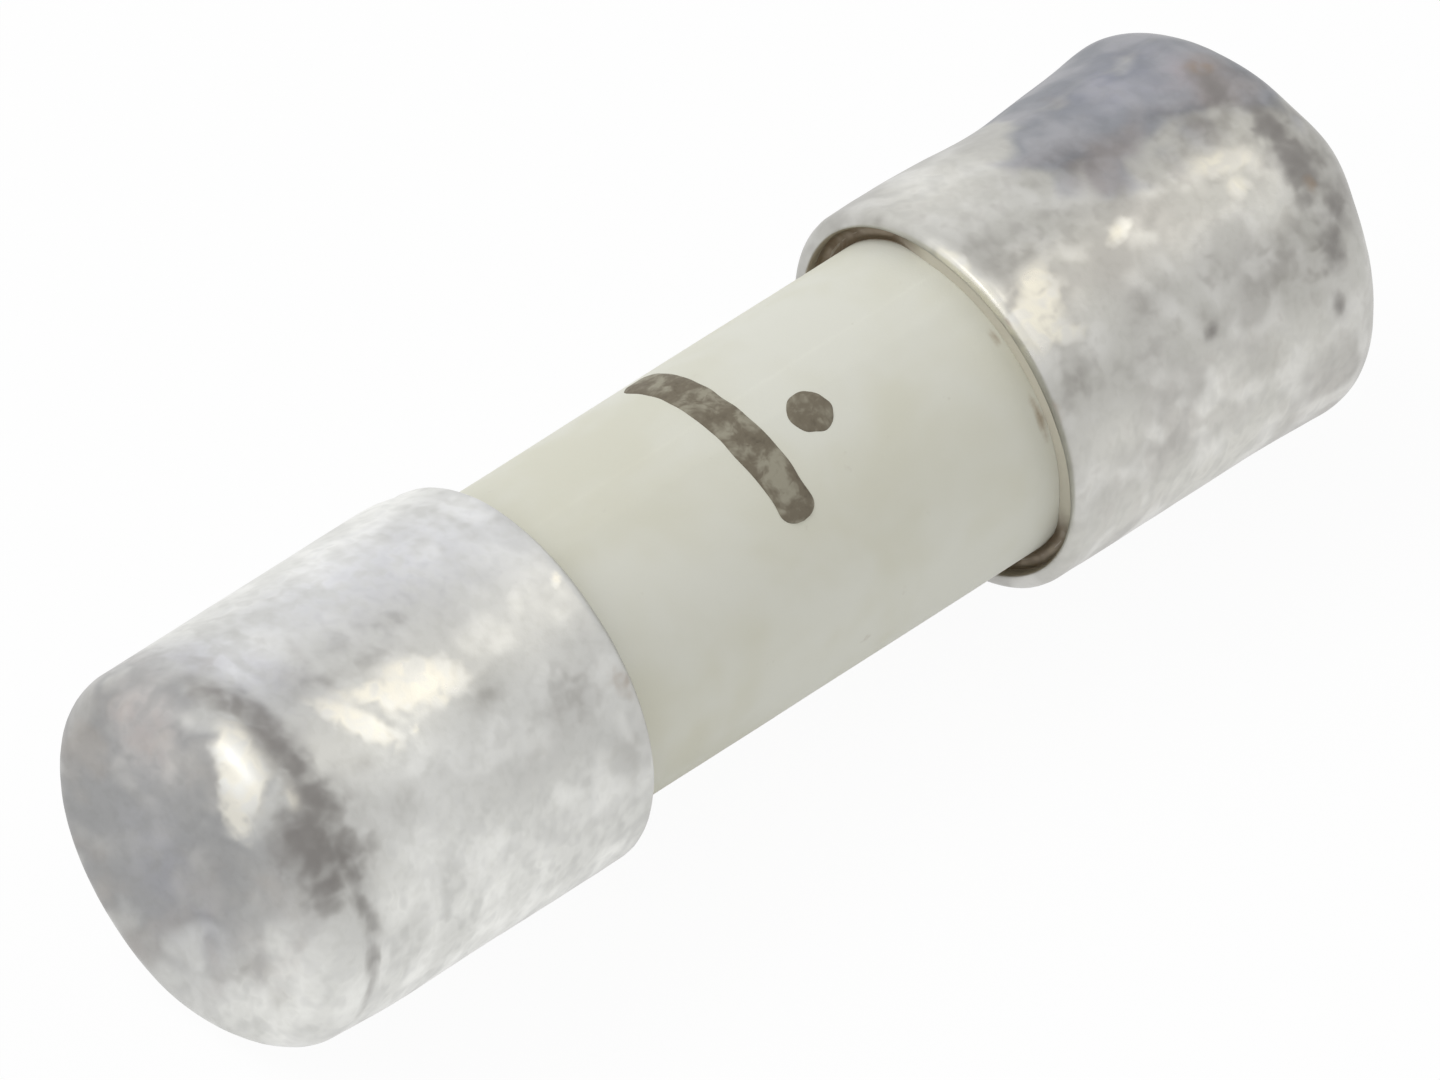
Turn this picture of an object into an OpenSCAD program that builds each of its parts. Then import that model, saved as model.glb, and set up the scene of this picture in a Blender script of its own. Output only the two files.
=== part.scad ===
// Round surface-mount cartridge fuse: a ceramic tube between two soldered metal end caps.
// It lies along X as it does on a circuit board. The origin is on the board, under the fuse's middle.

/* [Overall] */
// Length over the two end caps
fuse_len = 10.1; // [9:0.1:14]

/* [Ceramic tube] */
// Diameter of the bore through the tube
bore_d = 1.5; // [1:0.05:1.75]
// Chamfer on the four edges at the tube's ends
tube_chamfer = 0.05; // [0.03:0.01:0.1]

/* [End caps] */
// Outside diameter of the caps
cap_d = 3; // [2.8:0.1:5]
// Depth of each cap, from its closed end to its mouth
cap_len = 3.05; // [2.4:0.05:3.8]
// Thickness of a cap's round wall
cap_wall = 0.13; // [0.1:0.01:0.25]
// Space between a cap's wall and the tube, where the wire is folded back
cap_gap = 0.12; // [0.1:0.01:0.2]
// Thickness of a cap's closed end
cap_end = 0.2; // [0.14:0.01:0.35]
// Rounding of the left cap's closed end
left_round = 0.28; // [0.1:0.02:0.5]
// Rounding of the right cap's closed end
right_round = 0.5; // [0.1:0.02:0.54]
// Rounding of the outer edge at a cap's mouth
lip_round = 0.1; // [0.04:0.01:0.12]
// Chamfer of the inner edge at a cap's mouth
lip_chamfer = 0.02; // [0.01:0.01:0.04]

/* [Fuse wire] */
// Diameter of the fuse wire
wire_d = 0.08; // [0.05:0.01:0.09]
// Radius of the wire's bends, at its centre line
bend_r = 0.12; // [0.1:0.01:0.14]
// Length of the wire folded back along the outside of the tube
wire_leg = 0.9; // [0.4:0.05:1.2]

/* [Solder] */
// Solder between the wire and a cap's closed end
solder_film = 0.05; // [0.03:0.01:0.12]
// How far below a cap's mouth the solder ends, in the gap round the tube
solder_depth = 0.12; // [0.05:0.01:0.5]
// How far the solder fills the tube's bore, along its wall
solder_plug = 0.45; // [0.3:0.05:0.9]

/* [Printed mark] */
// Thickness of the ink
ink = 0.02; // [0.01:0.005:0.04]
// Place of the printed bar along the tube, from the middle towards the right
bar_x = -0.1; // [-0.8:0.05:0.2]
// Width of the printed bar
bar_w = 0.3; // [0.15:0.05:0.6]
// Angle that the bar covers round the tube
bar_sweep = 90; // [40:5:150]
// Angle from the top of the tube to the bar's middle, towards the front
bar_turn = 2; // [-30:1:40]
// Diameter of the printed dot
dot_d = 0.34; // [0.2:0.02:0.6]
// Space between the bar and the dot
dot_gap = 0.22; // [0.1:0.02:0.5]
// Angle from the top of the tube to the dot, towards the front
dot_turn = 18; // [-20:1:40]

/* [Hidden] */
$fn = 96;
cap_r = cap_d / 2;
cavity_r = cap_r - cap_wall;
tube_r = cavity_r - cap_gap;
bore_r = bore_d / 2;
wire_r = wire_d / 2;
// The wire lies midway between the tube and a cap's wall, this far from both.
wire_clear = (cap_gap - wire_d) / 2;
// Flat left between the mouth's outer rounding and its inner chamfer
lip_land = 0.01;
lip_r = min(lip_round, cap_wall - lip_chamfer - lip_land);
// The wire across the tube's end and the film under it set the gap at the closed end.
end_gap = wire_clear + wire_d + solder_film;
tube_len = fuse_len - 2 * (cap_end + end_gap);
solder_rise = cap_len - cap_end - solder_depth;
axis_z = cap_r;
// How far a bend's centre lies inside the corner of the tube that the wire turns round
bend_in = bend_r - wire_r - wire_clear;
// The wire's straight run touches the circles of two bends, one at each rim of the bore.
bend_x = tube_len / 2 - bend_in;
bend_z = bore_r + bend_in;
bend_far = norm([bend_x, bend_z]);
run_half = sqrt(bend_far * bend_far - bend_r * bend_r);
run_tilt = atan2(bend_z, bend_x) - asin(bend_r / bend_far);
// The solder plug's face is hollowed to this radius, and by this depth at its middle.
dish_r = bore_d;
dish_sag = dish_r - sqrt(dish_r * dish_r - bore_r * bore_r);
dot_x = bar_x + bar_w / 2 + dot_gap + dot_d / 2;

// Lays a shape that is drawn round Z along the fuse's own axis, so that its Z points to +X.
module along_axis() {
    translate([0, 0, axis_z]) rotate([0, 90, 0]) children();
}

// Moves a shape that starts at x = 0 to the left end.
module at_left_end() {
    translate([-fuse_len / 2, 0, 0]) children();
}

// Moves the mirror image of a shape that starts at x = 0 to the right end.
module at_right_end() {
    mirror([1, 0, 0]) at_left_end() children();
}

// Half section of a round plug of radius r and height h whose foot is rounded by c.
module rounded_foot(r, h, c) {
    square([r - c, h]);
    translate([0, c]) square([r, h - c]);
    translate([r - c, c]) circle(c);
}

// Half section of a drawn cap, closed at y = 0 and open at y = cap_len.
module cap_section(round_r) {
    mouth = cap_len - lip_chamfer;
    difference() {
        intersection() {
            rounded_foot(cap_r, cap_len, round_r);
            translate([0, cap_len]) mirror([0, 1]) rounded_foot(cap_r, cap_len, lip_r);
        }
        translate([0, cap_end]) rounded_foot(cavity_r, cap_len, end_gap);
        polygon([[0, mouth], [cavity_r, mouth], [cavity_r + lip_chamfer, cap_len], [0, cap_len]]);
    }
}

module end_cap(round_r) {
    along_axis() rotate_extrude() cap_section(round_r);
}

module tube_body() {
    c = tube_chamfer;
    h = tube_len / 2;
    along_axis() rotate_extrude() polygon([
        [bore_r, -h + c], [bore_r + c, -h], [tube_r - c, -h], [tube_r, -h + c],
        [tube_r, h - c], [tube_r - c, h], [bore_r + c, h], [bore_r, h - c]
    ]);
}

// Wire from the origin along +X, as steps of [straight length, angle then bent up towards +Z].
module wire_steps(steps, i = 0) {
    if (i < len(steps)) {
        straight = steps[i][0];
        turn = steps[i][1];
        rotate([0, 90, 0]) cylinder(r = wire_r, h = straight);
        if (turn > 0) translate([straight, 0, bend_r]) {
            rotate([90, 0, 0]) rotate([0, 0, -90]) rotate_extrude(angle = turn)
                translate([bend_r, 0]) circle(wire_r);
            rotate([0, -turn, 0]) translate([0, 0, -bend_r]) wire_steps(steps, i + 1);
        }
    }
}

// Half of the wire: from the middle out through the bore, over the rim and back along the tube.
module half_wire() {
    rotate([0, -run_tilt, 0]) wire_steps([
        [run_half, 90 - run_tilt],
        [tube_r - bore_r - 2 * bend_in, 90],
        [wire_leg - bend_in, 0]
    ]);
}

module whole_wire() {
    translate([0, 0, axis_z]) {
        half_wire();
        rotate([0, 180, 0]) half_wire();
    }
}

// The inside of a cap as far as the molten solder rose in it.
module solder_pool() {
    along_axis() rotate_extrude() translate([0, cap_end])
        rounded_foot(cavity_r, solder_rise, end_gap);
}

// The part of the bore that the solder leaves empty, with the plug's hollowed face.
module open_bore() {
    rim = cap_end + end_gap + solder_plug;
    along_axis() {
        translate([0, 0, rim]) cylinder(r = bore_r, h = solder_rise);
        intersection() {
            translate([0, 0, rim - dish_sag]) cylinder(r = bore_r, h = dish_sag);
            translate([0, 0, rim - dish_sag + dish_r]) sphere(dish_r);
        }
    }
}

// Solder at one end, still with the room that the tube and the wire take.
module solder_fill() {
    difference() {
        solder_pool();
        open_bore();
    }
}

// A band of ink round the whole tube, centred on x.
module ink_band(x, width) {
    translate([x - width / 2, 0, 0]) along_axis() difference() {
        cylinder(r = tube_r + ink, h = width);
        cylinder(r = tube_r, h = width);
    }
}

// The wedge of space that covers an angle round the tube, its middle turned from the top to the front.
module wedge_round_tube(x, width, sweep, turn) {
    translate([x - width / 2, 0, axis_z]) rotate([180 + turn - sweep / 2, 0, 0]) rotate([0, 90, 0])
        rotate_extrude(angle = sweep) square([cap_r, width]);
}

module ceramic_tube() {
    color([0.84, 0.84, 0.79]) tube_body();
}

module left_end_cap() {
    color([0.78, 0.78, 0.77]) at_left_end() end_cap(left_round);
}

module right_end_cap() {
    color([0.76, 0.76, 0.76]) at_right_end() end_cap(right_round);
}

module left_solder() {
    color([0.62, 0.62, 0.63]) difference() {
        at_left_end() solder_fill();
        tube_body();
        whole_wire();
    }
}

module right_solder() {
    color([0.62, 0.62, 0.63]) difference() {
        at_right_end() solder_fill();
        tube_body();
        whole_wire();
    }
}

module fuse_wire() {
    color([0.72, 0.7, 0.66]) whole_wire();
}

module printed_mark() {
    color([0.45, 0.42, 0.35]) {
        intersection() {
            ink_band(bar_x, bar_w);
            wedge_round_tube(bar_x, bar_w, bar_sweep, bar_turn);
        }
        intersection() {
            ink_band(dot_x, 2 * dot_d);
            translate([dot_x, 0, axis_z]) rotate([dot_turn, 0, 0]) cylinder(d = dot_d, h = cap_r);
        }
    }
}

ceramic_tube();
left_end_cap();
right_end_cap();
left_solder();
right_solder();
fuse_wire();
printed_mark();
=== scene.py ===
"""Looks of a round surface-mount cartridge fuse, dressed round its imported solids.

Lengths are metres in the frame of the solids: X runs along the fuse, Z up from the board and
the front is towards -Y. A turn is an angle round the fuse, from its top towards the front.
"""

import logging
import math
from abc import ABC, abstractmethod
from collections.abc import Sequence
from dataclasses import asdict, dataclass
from enum import Enum

import bpy
import numpy as np
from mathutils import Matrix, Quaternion, Vector


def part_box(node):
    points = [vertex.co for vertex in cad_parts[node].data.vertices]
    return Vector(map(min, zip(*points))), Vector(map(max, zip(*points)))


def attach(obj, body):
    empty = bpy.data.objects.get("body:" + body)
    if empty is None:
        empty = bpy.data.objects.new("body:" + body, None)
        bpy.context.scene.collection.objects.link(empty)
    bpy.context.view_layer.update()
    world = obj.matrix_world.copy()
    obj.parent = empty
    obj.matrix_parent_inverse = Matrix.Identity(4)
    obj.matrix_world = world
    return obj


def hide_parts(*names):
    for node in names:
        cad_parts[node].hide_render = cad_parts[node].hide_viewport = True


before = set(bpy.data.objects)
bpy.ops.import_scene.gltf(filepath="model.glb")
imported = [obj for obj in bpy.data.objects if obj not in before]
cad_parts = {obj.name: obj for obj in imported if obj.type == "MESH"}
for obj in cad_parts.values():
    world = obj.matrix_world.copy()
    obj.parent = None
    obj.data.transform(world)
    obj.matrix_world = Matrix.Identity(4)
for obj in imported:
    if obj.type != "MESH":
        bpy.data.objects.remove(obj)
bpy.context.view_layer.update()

BODY = "root"
TUBE = "ceramic_tube"
MM = 0.001
CAP_WALL = 0.13 * MM
BORE_RADIUS = 0.75 * MM
LOG = logging.getLogger("fuse")

Colour = tuple[float, float, float, float]
Socket = bpy.types.NodeSocket


class End(Enum):
    """The two ends of the fuse, each with the way that it points along X."""

    LEFT = -1
    RIGHT = 1

    @property
    def other(self) -> "End":
        """Give the opposite end."""
        return End(-self.value)


class Coat(Enum):
    """What lies on the tin in one place, or what is painted into its colour there as light, shade or
    highlight, by the name of the mesh attribute that holds it.
    """

    # Painted shade: a darker grey for the tin's dark reflections, on rougher tin.
    DULL = "dull"
    # A painted cool reflection.
    COOL = "cool"
    WARM = "warm"
    # Painted light and highlight: a tinge that lifts the colour where the tin would catch light.
    PALE = "pale"
    # Darker patches.
    SMUDGE = "smudge"
    # Painted highlight: lighter colour on tin that is also smoother there.
    BRIGHT = "bright"
    SOOT = "soot"
    RUST = "rust"


@dataclass(frozen=True)
class Room:
    """The room that one round solid takes: its ends along X, its radius and its axis's height."""

    left: float
    right: float
    radius: float
    axis_height: float

    @classmethod
    def of(cls, node: str) -> "Room":
        """Measure the solid of this name."""
        low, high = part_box(node)
        return cls(low.x, high.x, (high.z - low.z) / 2, (high.z + low.z) / 2)

    @property
    def length(self) -> float:
        """Give the length along X."""
        return self.right - self.left

    def tip(self, end: End) -> float:
        """Give the place along X of one of the two ends."""
        return self.left if end is End.LEFT else self.right


def tone(red: int, green: int, blue: int) -> Colour:
    """Give the linear colour that shaders take.

    Args:
        red: Red as the eye sees it, from 0 to 255.
        green: Green on the same scale.
        blue: Blue on the same scale.

    Returns:
        The linear colour, with full alpha.
    """
    def linear(level: int) -> float:
        """Undo the standard curve of a screen for one level."""
        share = level / 255
        return share / 12.92 if share <= 0.04045 else ((share + 0.055) / 1.055) ** 2.4

    return linear(red), linear(green), linear(blue), 1.0


def turns_of(points: np.ndarray, axis_height: float) -> np.ndarray:
    """Give the turn of each point round an axis at this height, in radians from minus pi to pi."""
    return np.arctan2(-points[:, 1], points[:, 2] - axis_height)


def swings_from(middle: float, turns: np.ndarray) -> np.ndarray:
    """Give how far turns in radians lie from a middle in degrees, the short way round."""
    return (turns - math.radians(middle) + math.pi) % math.tau - math.pi


def show(name: str, data: bpy.types.ID) -> bpy.types.Object:
    """Put an object into the scene.

    Args:
        name: The object's name.
        data: Its mesh, lamp or camera.

    Returns:
        The object.
    """
    shown = bpy.data.objects.new(name, data)
    bpy.context.scene.collection.objects.link(shown)
    return shown


def hang(name: str, data: bpy.types.ID, spot: Vector, facing: Quaternion) -> bpy.types.Object:
    """Put a lamp or a camera into the scene.

    Args:
        name: The object's name.
        data: The lamp or the camera.
        spot: Where it hangs.
        facing: How it is turned.

    Returns:
        The object.
    """
    hung = show(name, data)
    hung.location = spot
    hung.rotation_mode = "QUATERNION"
    hung.rotation_quaternion = facing
    return hung


def keep_numbers(mesh: bpy.types.Mesh, label: str, numbers: np.ndarray) -> None:
    """Keep one number for each point of a mesh under a name."""
    layer = mesh.attributes.get(label) or mesh.attributes.new(label, "FLOAT", "POINT")
    layer.data.foreach_set("value", np.asarray(numbers, np.float32))


def numbers_of(mesh: bpy.types.Mesh, label: str) -> np.ndarray:
    """Read the numbers that a mesh holds under a name.

    Args:
        mesh: The mesh.
        label: The name.

    Returns:
        One number for each point.
    """
    numbers = np.zeros(len(mesh.vertices), np.float32)
    mesh.attributes[label].data.foreach_get("value", numbers)
    return numbers


def rows_of(mesh: bpy.types.Mesh, kind: str) -> np.ndarray:
    """Read a vector at each point of a mesh.

    Args:
        mesh: The mesh.
        kind: "co" for the point's place, "normal" for the way outwards.

    Returns:
        One row of three numbers for each point.
    """
    flat = np.zeros(len(mesh.vertices) * 3)
    mesh.vertices.foreach_get(kind, flat)
    return flat.reshape(-1, 3)


def move_points(mesh: bpy.types.Mesh, points: np.ndarray) -> None:
    """Move the points of a mesh to new places, one row for each."""
    mesh.vertices.foreach_set("co", points.ravel())
    mesh.update()


def point_mesh(name: str, points: np.ndarray, values: dict[str, np.ndarray],
               joined: bool = False) -> bpy.types.Mesh:
    """Make a mesh of bare points.

    Args:
        name: The mesh's name.
        points: One row of x, y and z for each point.
        values: Numbers to keep with the points, by attribute name.
        joined: Whether an edge joins each point to the next.

    Returns:
        The mesh.
    """
    mesh = bpy.data.meshes.new(name)
    edges = [(first, first + 1) for first in range(len(points) - 1)] if joined else []
    mesh.from_pydata([tuple(point) for point in points], edges, [])
    for label, numbers in values.items():
        keep_numbers(mesh, label, numbers)
    return mesh


class Graph:
    """A node tree with short ways to add and join its nodes."""

    def __init__(self, tree: bpy.types.NodeTree) -> None:
        """Take the tree that nodes are added to."""
        self.tree = tree

    def feed(self, socket: Socket, source: object) -> None:
        """Give an input its value.

        Args:
            socket: The input.
            source: Another node's output to join it to, or a plain value.
        """
        if isinstance(source, Socket):
            self.tree.links.new(source, socket)
        else:
            socket.default_value = source

    def add(self, kind: str, feeds: dict | None = None, **settings: object) -> bpy.types.Node:
        """Add one node.

        Args:
            kind: Blender's name of the node type.
            feeds: Values or outputs for its inputs, by name or number.
            settings: Values of the node's own properties.

        Returns:
            The new node.
        """
        node = self.tree.nodes.new(kind)
        for name, value in settings.items():
            setattr(node, name, value)
        for key, source in (feeds or {}).items():
            self.feed(node.inputs[key], source)
        return node

    def out(self, kind: str, feeds: dict | None = None, **settings: object) -> Socket:
        """Add one node, as add does, and give its first output."""
        return self.add(kind, feeds, **settings).outputs[0]

    def maths(self, operation: str, *operands: object, clamp: bool = False) -> Socket:
        """Give what an operation makes of numbers or outputs, held between 0 and 1 on request."""
        return self.out("ShaderNodeMath", dict(enumerate(operands)), operation=operation, use_clamp=clamp)

    def noise(self, place: Socket, size: float | Socket, seed: float | Socket, detail: float = 2.0,
              rough: float = 0.5, warp: float = 0.0) -> Socket:
        """Add soft random patches.

        Args:
            place: The position that the patches are drawn at.
            size: Length from one patch to the next.
            seed: Which of many drawings to take.
            detail: How many finer layers are added.
            rough: How strong the finer layers are.
            warp: How far the patches are pulled out of shape.

        Returns:
            The output with a number round 0.5.
        """
        scale = self.maths("DIVIDE", 1.0, size) if isinstance(size, Socket) else 1 / size
        feeds = {"Vector": place, "W": seed, "Scale": scale, "Detail": detail, "Roughness": rough,
                 "Distortion": warp}
        return self.out("ShaderNodeTexNoise", feeds, noise_dimensions="4D")

    def fade(self, source: Socket, low: float, high: float | Socket, start: float = 0.0,
             end: float = 1.0) -> Socket:
        """Give a soft step: the start value up to low, and the end value from high on."""
        feeds = {"Value": source, "From Min": low, "From Max": high, "To Min": start, "To Max": end}
        return self.out("ShaderNodeMapRange", feeds, interpolation_type="SMOOTHSTEP")


class Skin(Graph):
    """A surface material under construction, with its shader and the place that it is drawn at."""

    # The share of a patch at which its border begins to tear, and the one at which it tears fully
    TEAR_BEGINS = 0.02
    TEAR_FULL = 0.3

    def __init__(self, name: str) -> None:
        """Make the material with its standard shader.

        Args:
            name: The material's name.
        """
        self.material = bpy.data.materials.new(name)
        self.material.use_nodes = True
        super().__init__(self.material.node_tree)
        self.shader = self.tree.nodes["Principled BSDF"]
        self.place = self.add("ShaderNodeTexCoord").outputs["Object"]

    def set(self, **feeds: object) -> None:
        """Feed the shader's inputs, whose names are written with _ for a space."""
        for name, source in feeds.items():
            self.feed(self.shader.inputs[name.replace("_", " ")], source)

    def mix(self, share: object, below: object, above: object, blend: str = "MIX") -> Socket:
        """Lay one colour over another.

        Args:
            share: How much of the upper colour covers the lower one.
            below: The lower colour.
            above: The upper colour.
            blend: Blender's name of the way that they mix.

        Returns:
            The output with the mixed colour.
        """
        node = self.add("ShaderNodeMix", data_type="RGBA", blend_type=blend)
        lower, upper = (socket for socket in node.inputs if socket.type == "RGBA")
        for socket, source in ((node.inputs[0], share), (lower, below), (upper, above)):
            self.feed(socket, source)
        return next(socket for socket in node.outputs if socket.type == "RGBA")

    def attribute(self, label: str) -> Socket:
        """Give the number that the mesh holds under this name."""
        return self.add("ShaderNodeAttribute", attribute_name=label).outputs["Fac"]

    def ragged(self, label: str, tear: Socket, reach: float, edge: float) -> Socket:
        """Give a patch a torn border.

        Args:
            label: The name under which the mesh holds the patch, from 0 to 1.
            tear: Noise round 0.5 that tears the border.
            reach: How far the noise moves the border.
            edge: Half the width of the border's fade.

        Returns:
            The output with the torn patch, from 0 to 1.
        """
        cover = self.attribute(label)
        shift = self.maths("MULTIPLY", self.maths("SUBTRACT", tear, 0.5), reach)
        shift = self.maths("MULTIPLY", self.fade(cover, self.TEAR_BEGINS, self.TEAR_FULL), shift)
        return self.fade(self.maths("ADD", cover, shift), 0.5 - edge, 0.5 + edge)

    def bumps(self, *layers: tuple[Socket, float]) -> None:
        """Give the shader fine relief.

        Args:
            layers: Each a number that says how high the surface is, and the height of its 1.
        """
        normal = None
        for height, distance in layers:
            feeds = {"Strength": 1.0, "Distance": distance, "Height": height}
            if normal is not None:
                feeds["Normal"] = normal
            normal = self.out("ShaderNodeBump", feeds)
        self.set(Normal=normal)


class Finish(ABC):
    """The finish of a surface, which can be made a material."""

    def material(self, name: str) -> bpy.types.Material:
        """Make the material.

        Args:
            name: The material's name.

        Returns:
            The material.
        """
        skin = Skin(name)
        self.paint(skin)
        return skin.material

    @abstractmethod
    def paint(self, skin: Skin) -> None:
        """Give a new material its nodes."""


@dataclass(frozen=True)
class TinCoat(Finish):
    """Hot-dipped tin on the end caps, patchy and satin, with what has settled on it and with painted
    light, shade and highlights.

    The patches are drawn out along the way that the molten tin ran off. A tinge multiplies the
    colour under it. The last numbers say how each cover changes roughness and metal.
    """

    seed: float
    plain: Colour
    light: Colour
    shade: Colour
    # The three greys of the painted shade, which stands in for the tin's dark reflections.
    dull: Colour
    dull_light: Colour
    dull_warm: Colour
    # The colour of the painted highlights.
    bright: Colour
    # The tinges multiply the colour: the cool one is a painted cool reflection, the warm one a pinkish
    # tint, the pale one painted light and highlight, and the next one makes darker patches.
    cool: Colour = (0.985, 0.99, 1.055, 1.0)
    warm: Colour = (1.06, 1.0, 0.98, 1.0)
    pale: Colour = (1.36, 1.36, 1.35, 1.0)
    smudge: Colour = (0.7, 0.69, 0.68, 1.0)
    crumb: Colour = (0.955, 0.955, 0.95, 1.0)
    soot: Colour = tone(141, 137, 134)
    rust: Colour = tone(164, 142, 118)
    # The inside of the cap: flux brown, darker as painted shade in the gap.
    inner: Colour = tone(150, 140, 122)
    soot_cover: float = 0.8
    rust_cover: float = 0.7
    cloud_size: float = 0.8 * MM
    tint_size: float = 0.48 * MM
    flake_size: float = 0.3 * MM
    speck_size: float = 0.12 * MM
    crumb_size: float = 0.075 * MM
    grain_size: float = 0.03 * MM
    grain_height: float = 0.0012 * MM
    flake_height: float = 0.0045 * MM
    draw_turn: float = 37.6
    draw_stretch: float = 1.7
    rough: float = 0.42
    smooth: float = 0.34
    # How much rougher the tin is under the painted shade, and smoother under the painted highlight.
    dull_roughens: float = 0.12
    bright_smooths: float = 0.08
    dirt_roughens: float = 0.3
    dirt_hides_metal: float = 0.6

    def paint(self, skin: Skin) -> None:
        """Give a new material the nodes of the tin.

        Args:
            skin: The new material.
        """
        drawn = skin.out("ShaderNodeMapping", {
            "Vector": skin.place, "Rotation": (math.radians(self.draw_turn), 0.0, 0.0),
            "Scale": (1.0, 1.0, self.draw_stretch)}, vector_type="TEXTURE")
        flake = skin.noise(drawn, self.flake_size, self.seed + 3, detail=1.5, rough=0.45, warp=0.3)
        speck = skin.noise(drawn, self.speck_size, self.seed + 7, detail=1.0, warp=0.3)
        grain = skin.noise(skin.place, self.grain_size, self.seed + 11, rough=0.6)

        # Masks: the painted shade and the painted highlight, then soot and rust, each with a torn border.
        dull = skin.ragged(Coat.DULL.value, flake, reach=1.1, edge=0.2)
        bright = skin.ragged(Coat.BRIGHT.value, speck, reach=1.3, edge=0.32)
        soot = skin.ragged(Coat.SOOT.value, speck, reach=0.9, edge=0.5)
        rust = skin.ragged(Coat.RUST.value, speck, reach=1.2, edge=0.4)
        inner = skin.maths("SUBTRACT", 1.0, skin.attribute("outer"), clamp=True)

        colour = self.bare(skin, drawn, flake, speck, dull)
        # The painted highlight, lighter in specks, on smoother tin.
        glint = skin.mix(skin.fade(speck, 0.42, 0.64, end=0.8), self.bright, self.light)
        colour = skin.mix(bright, colour, glint)
        # Tinges: painted light and highlight, a painted cool reflection, and darker patches.
        colour = self.tinged(skin, colour, speck)
        colour = skin.mix(skin.maths("MULTIPLY", soot, self.soot_cover), colour, self.soot)
        colour = skin.mix(skin.maths("MULTIPLY", rust, self.rust_cover), colour, self.rust)
        # The inside of the cap, darker as painted shade in the gap.
        colour = skin.mix(inner, colour, self.inner)

        # Soot, rust and the painted shade inside the cap roughen the tin and take its metal away.
        dirt = skin.maths("MAXIMUM", skin.maths("MAXIMUM", soot, rust), inner)
        rough = skin.fade(flake, 0.4, 0.65, self.rough, self.smooth)
        rough = skin.maths("ADD", rough, skin.maths("MULTIPLY", dull, self.dull_roughens))
        rough = skin.maths("SUBTRACT", rough, skin.maths("MULTIPLY", bright, self.bright_smooths))
        rough = skin.maths("ADD", rough, skin.maths("MULTIPLY", dirt, self.dirt_roughens), clamp=True)
        hidden = skin.maths("MULTIPLY", dirt, self.dirt_hides_metal)
        skin.set(Base_Color=colour, Roughness=rough,
                 Metallic=skin.maths("SUBTRACT", 1.0, hidden, clamp=True))
        skin.bumps((flake, self.flake_height), (grain, self.grain_height))

    def bare(self, skin: Skin, drawn: Socket, flake: Socket, speck: Socket, dull: Socket) -> Socket:
        """Colour the tin before anything lies on it: clouded, flaked and specked, and darker grey in
        places as painted shade.

        Args:
            skin: The new material.
            drawn: The drawn-out place.
            flake: The noise of the flakes.
            speck: The noise of the specks.
            dull: How much painted shade darkens the tin.

        Returns:
            The output with the colour.
        """
        cloud = skin.noise(drawn, self.cloud_size, self.seed, detail=1.0, rough=0.4)
        sheet = skin.mix(skin.fade(cloud, 0.3, 0.62), self.shade, self.plain)
        sheet = skin.mix(skin.fade(flake, 0.45, 0.68, end=0.8), sheet, self.light)
        sheet = skin.mix(skin.fade(speck, 0.5, 0.75, end=0.5), sheet, self.shade)
        tint = skin.noise(drawn, self.tint_size, self.seed + 17)
        # The greys of the painted shade.
        grey = skin.mix(skin.fade(flake, 0.36, 0.68), self.dull, self.dull_light)
        grey = skin.mix(skin.fade(tint, 0.5, 0.7, end=0.5), grey, self.dull_warm)
        crumb = skin.noise(drawn, self.crumb_size, self.seed + 23, detail=1.0, warp=0.4)
        return skin.mix(skin.fade(crumb, 0.42, 0.7), skin.mix(dull, sheet, grey), self.crumb, "MULTIPLY")

    def tinged(self, skin: Skin, colour: Socket, speck: Socket) -> Socket:
        """Lay the four tinges over a colour, each a little uneven: a painted cool reflection, a warm tint,
        painted light and highlight, and darker patches.

        Args:
            skin: The new material.
            colour: The colour under them.
            speck: The noise of the specks.

        Returns:
            The output with the tinged colour.
        """
        uneven = skin.maths("ADD", skin.fade(speck, 0.3, 0.7, end=0.8), 0.6)
        for coat, tinge in ((Coat.COOL, self.cool), (Coat.WARM, self.warm), (Coat.PALE, self.pale),
                            (Coat.SMUDGE, self.smudge)):
            share = skin.maths("MULTIPLY", skin.attribute(coat.value), uneven, clamp=True)
            colour = skin.mix(share, colour, tinge, "MULTIPLY")
        return colour


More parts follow.
